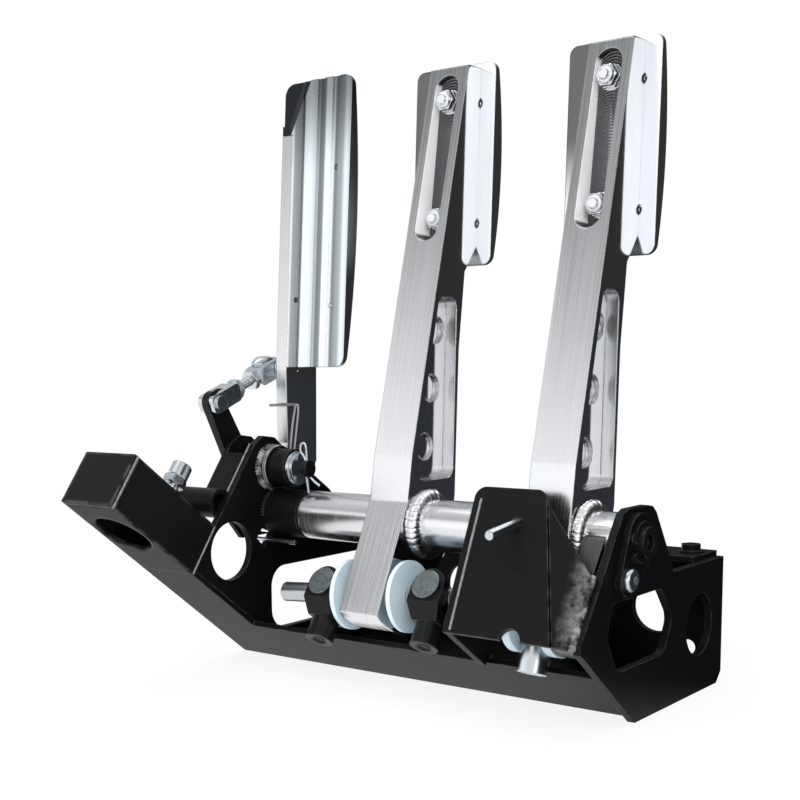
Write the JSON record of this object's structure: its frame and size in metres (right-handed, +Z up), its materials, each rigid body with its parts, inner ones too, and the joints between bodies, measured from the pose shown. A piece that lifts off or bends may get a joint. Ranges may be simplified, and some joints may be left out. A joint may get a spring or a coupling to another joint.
{
  "type": "floor-mounted pedal box",
  "caption": "Floor-mounted pedal box with clutch, brake and accelerator pedals on one cross shaft, a balance bar and a throttle linkage in a welded frame.",
  "frame": {"origin": "centre of the floor bolt pattern, on the face that lies on the floor", "axes": "+X along the pivot shaft towards the clutch side, +Y rearwards to the driver, +Z up"},
  "size_m": [0.2785, 0.2441, 0.3456],
  "materials": {
    "zinc_steel": "bright zinc plate",
    "black_powder_coat": "matte fine-textured powder coat on steel",
    "machined_aluminium": "brushed",
    "weld_aluminium": "bright weld bead",
    "pad_aluminium": "satin",
    "nylon": "satin",
    "black_oxide": "black oxide",
    "bronze": "satin",
    "bright_steel": "ground"
  },
  "bodies": {
    "frame": {"floor_plate": "black_powder_coat", "toe_plate": "black_powder_coat", "strut_tube": "black_powder_coat", "strut_cap": "black_powder_coat", "accel_side_plate": "black_powder_coat", "accel_outer_plate": "black_powder_coat", "cross_tube": "black_powder_coat", "end_plate": "black_powder_coat", "inner_plate": "black_powder_coat", "rear_channel": "black_powder_coat", "front_bracket": "black_powder_coat", "bracket_cheek": "black_powder_coat", "stop_pin": "zinc_steel", "shaft_boss": "black_powder_coat", "throttle_boss": "black_powder_coat", "pivot_shaft": "bright_steel", "keeper_plate": "black_powder_coat", "keeper_screw": "zinc_steel", "shaft_circlip": "black_oxide", "lock_rod": "zinc_steel", "flange_bolts": "black_oxide", "throttle_stop": "black_oxide", "throttle_stop_nut": "zinc_steel"},
    "brake_pedal": {"brake_lever": "machined_aluminium", "brake_hub": "machined_aluminium", "brake_hub_welds": "weld_aluminium", "brake_bushes": "bronze", "brake_pad": "pad_aluminium", "brake_pad_bolts": "zinc_steel", "brake_pad_nuts": "zinc_steel", "bearing_race": "bright_steel"},
    "balance_bar": {"balance_bar": "black_oxide", "bar_ball": "bright_steel", "bar_washers": "nylon"},
    "barrel_left": {"barrel_left": "zinc_steel"},
    "barrel_right": {"barrel_right": "zinc_steel"},
    "clevis_left": {"clevis_left": "black_oxide"},
    "clevis_right": {"clevis_right": "black_oxide"},
    "clutch_pedal": {"clutch_lever": "machined_aluminium", "clutch_hub": "machined_aluminium", "clutch_hub_welds": "weld_aluminium", "clutch_bushes": "bronze", "clutch_pad": "pad_aluminium", "clutch_pad_bolts": "zinc_steel", "clutch_pad_nuts": "zinc_steel", "clutch_pin": "zinc_steel", "clutch_washers": "zinc_steel"},
    "clutch_clevis": {"clutch_clevis": "zinc_steel"},
    "accelerator": {"accel_arm": "machined_aluminium", "accel_pad": "pad_aluminium", "arm_pin": "zinc_steel"},
    "throttle_lever": {"throttle_lever": "black_oxide", "throttle_pin": "zinc_steel", "throttle_washers": "zinc_steel", "split_pin": "zinc_steel", "return_spring": "black_oxide"},
    "throttle_link": {"link_rod": "zinc_steel", "link_nuts": "zinc_steel", "link_forks": "zinc_steel", "lever_pin": "zinc_steel"}
  },
  "joints": [
    {"name": "brake_pedal", "type": "hinge", "parent": "frame", "child": "brake_pedal", "pos_m": [-0.02, -0.06, 0.092], "axis": [1, 0, 0], "range_deg": [0, 14]},
    {"name": "clutch_pedal", "type": "hinge", "parent": "frame", "child": "clutch_pedal", "pos_m": [0.078, -0.06, 0.092], "axis": [1, 0, 0], "range_deg": [0, 14]},
    {"name": "accelerator", "type": "hinge", "parent": "frame", "child": "accelerator", "pos_m": [-0.1255, -0.06, 0.092], "axis": [1, 0, 0], "range_deg": [0, 16], "stiffness_Nm_per_rad": 0.6, "springref_deg": -20.05},
    {"name": "throttle_lever", "type": "hinge", "parent": "frame", "child": "throttle_lever", "pos_m": [-0.141, -0.066, 0.1195], "axis": [1, 0, 0], "range_deg": [0, 26.2]},
    {"name": "throttle_link", "type": "hinge", "parent": "accelerator", "child": "throttle_link", "pos_m": [-0.141, -0.034, 0.178], "axis": [1, 0, 0], "range_deg": [-2, 6]},
    {"name": "balance_bar_tilt", "type": "hinge", "parent": "brake_pedal", "child": "balance_bar", "pos_m": [-0.02, -0.087, 0.055], "axis": [0, 1, 0], "range_deg": [0, 6]},
    {"name": "barrel_left_turn", "type": "hinge", "parent": "balance_bar", "child": "barrel_left", "pos_m": [-0.05092, -0.087, 0.05284], "axis": [0.9976, 0, 0.0698], "range_deg": [-36, 1]},
    {"name": "barrel_right_turn", "type": "hinge", "parent": "balance_bar", "child": "barrel_right", "pos_m": [0.01851, -0.087, 0.05769], "axis": [0.9976, 0, 0.0698], "range_deg": [-36, 1]},
    {"name": "clevis_left_swing", "type": "hinge", "parent": "barrel_left", "child": "clevis_left", "pos_m": [-0.05092, -0.087, 0.05284], "axis": [-0.0419, -0.8, 0.5985], "range_deg": [-3, 3]},
    {"name": "clevis_right_swing", "type": "hinge", "parent": "barrel_right", "child": "clevis_right", "pos_m": [0.01851, -0.087, 0.05769], "axis": [-0.0419, -0.8, 0.5985], "range_deg": [-3, 3]},
    {"name": "clutch_clevis_turn", "type": "hinge", "parent": "clutch_pedal", "child": "clutch_clevis", "pos_m": [0.0794, -0.087, 0.055], "axis": [1, 0, 0], "range_deg": [-43, 1]}
  ],
  "couplings": [
    {"joint": "throttle_lever", "follows": "accelerator", "ratio": 1.63},
    {"joint": "throttle_link", "follows": "accelerator", "ratio": 0.24},
    {"joint": "barrel_left_turn", "follows": "brake_pedal", "ratio": -2.5},
    {"joint": "barrel_right_turn", "follows": "brake_pedal", "ratio": -2.5},
    {"joint": "clutch_clevis_turn", "follows": "clutch_pedal", "ratio": -3}
  ]
}
